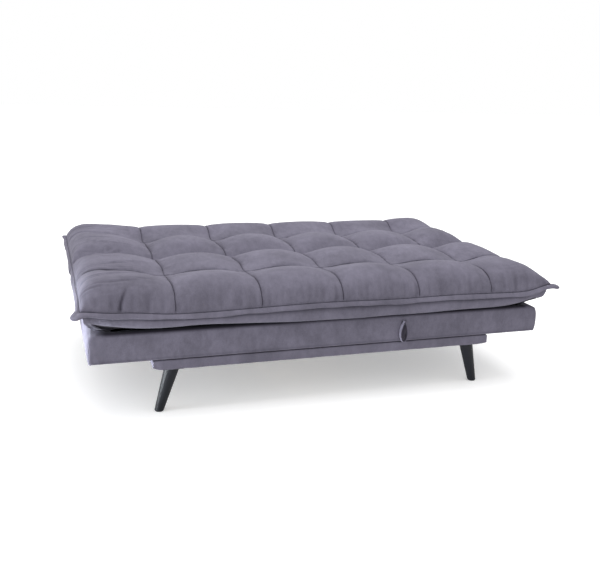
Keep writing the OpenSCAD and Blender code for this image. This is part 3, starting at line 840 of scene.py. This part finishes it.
def strap_tab():
    """Flat stitched tab that holds the loop on the front of the box."""
    low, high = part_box("pull_loop_tab")
    nx, nz = 15, 19
    stitch_in = 0.16  # the stitch line's distance from the edge, as a share of the tab
    verts, seam = [], []
    for behind in (False, True):
        for k in range(nz):
            for i in range(nx):
                u, v = i / (nx - 1), k / (nz - 1)
                edge = min(u, 1 - u, v, 1 - v)
                y = high.y - 0.0002 if behind else low.y + 0.0004 * math.exp(-edge / 0.05)
                verts.append((low.x + u * (high.x - low.x), y, low.z + v * (high.z - low.z)))
                seam.append(0.7 if abs(edge - stitch_in) < 0.03 and not behind else 0.0)
    faces = panel_faces(nx, nz, False)
    ob = make_object("pull_loop_stitched_tab", verts, faces, "strap", seam)
    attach(ob, "seat")
    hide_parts("pull_loop_tab")


strap_tab()

# ---------------------------------------------------------------- dust cloths


def dust_cloth(name, body, node, box, seed):
    """Thin cloth stapled under a box: flat along its edges and over the base, a little loose beyond it."""
    low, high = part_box(node)
    nx, ny = 121, 41
    X, Y = np.meshgrid(np.linspace(low.x, high.x, nx), np.linspace(low.y, high.y, ny))
    edge = np.minimum.reduce([X - low.x, high.x - X, Y - low.y, high.y - Y])
    over_base = np.abs(X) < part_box("base_front_rail")[1].x + 0.03
    loose = np.where(over_base, 0.0, ease(edge / 0.05))
    Z = box[0].z - 0.0005 - loose * (0.0015 + 0.0010 * waves(X * 9 + Y * 4, seed))
    verts = list(zip(X.ravel(), Y.ravel(), Z.ravel()))
    verts += [(x, y, z + 0.0003) for x, y, z in verts]
    faces = panel_faces(nx, ny, True)
    ob = make_object(name, verts, faces, "dust_cloth")
    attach(ob, body)
    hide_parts(node)


dust_cloth("seat_box_dust_cloth", "seat", "seat_dust_cloth", SEAT_BOX, 61)
dust_cloth("back_box_dust_cloth", "back", "back_dust_cloth", BACK_BOX, 62)

# ---------------------------------------------------------------- stage, light and camera


def area_light(name, place, target, size, power, color=(1, 1, 1), spread=180):
    data = bpy.data.lights.new(name, "AREA")
    data.spread = math.radians(spread)
    data.shape, data.size, data.energy, data.color = "SQUARE", size, power, color
    ob = bpy.data.objects.new(name, data)
    bpy.context.scene.collection.objects.link(ob)
    ob.location = place
    ob.rotation_euler = (Vector(target) - Vector(place)).to_track_quat("-Z", "Y").to_euler()


bpy.ops.mesh.primitive_plane_add(size=60, location=(0, 0, -0.0005))
floor = bpy.context.object
floor.name = "studio_floor"
floor_mat, _, floor_bsdf = new_material("pale_floor")
floor_bsdf.inputs["Base Color"].default_value = (0.84, 0.84, 0.84, 1)
floor_bsdf.inputs["Roughness"].default_value = 0.9
floor_bsdf.inputs["Emission Color"].default_value = (1, 1, 1, 1)
floor_bsdf.inputs["Emission Strength"].default_value = 0.32
floor.data.materials.append(floor_mat)

world = bpy.data.worlds.new("studio")
bpy.context.scene.world = world
world.use_nodes = True
world.node_tree.nodes["Background"].inputs["Color"].default_value = (1.0, 1.0, 1.0, 1)
world.node_tree.nodes["Background"].inputs["Strength"].default_value = 1.0

area_light("key", (-4.2, -1.2, 0.9), (-0.5, -0.2, 0.35), 1.6, 55, (0.94, 0.97, 1.0))
area_light("overhead", (0.2, 0.2, 3.8), (0, 0, 0.4), 3.4, 135)
area_light("left_end", (-2.2, -0.5, 0.12), (-0.91, -0.42, 0.25), 0.3, 3.2, (0.90, 0.97, 1.0), 28)

CAM_AT = (-1.039, -3.232, 1.203)
CAM_YAW = 0.324
CAM_PITCH = 0.252
CAM_ROLL = 0.031
CAM_FOCAL = 782.3 / 600  # focal length over image width
SENSOR = 36
fwd = Vector((math.sin(CAM_YAW) * math.cos(CAM_PITCH), math.cos(CAM_YAW) * math.cos(CAM_PITCH),
              -math.sin(CAM_PITCH)))
level = Vector((math.cos(CAM_YAW), -math.sin(CAM_YAW), 0))
upward = level.cross(fwd)
cam_right = level * math.cos(CAM_ROLL) + upward * math.sin(CAM_ROLL)
cam_up = -level * math.sin(CAM_ROLL) + upward * math.cos(CAM_ROLL)
cam = bpy.data.objects.new("camera", bpy.data.cameras.new("camera"))
bpy.context.scene.collection.objects.link(cam)
cam.matrix_world = Matrix.Translation(CAM_AT) @ Matrix((cam_right, cam_up, -fwd)).transposed().to_4x4()
cam.data.sensor_fit = "HORIZONTAL"
cam.data.sensor_width = SENSOR
cam.data.lens = SENSOR * CAM_FOCAL
bpy.context.scene.camera = cam

scene = bpy.context.scene
scene.view_settings.view_transform = "Standard"
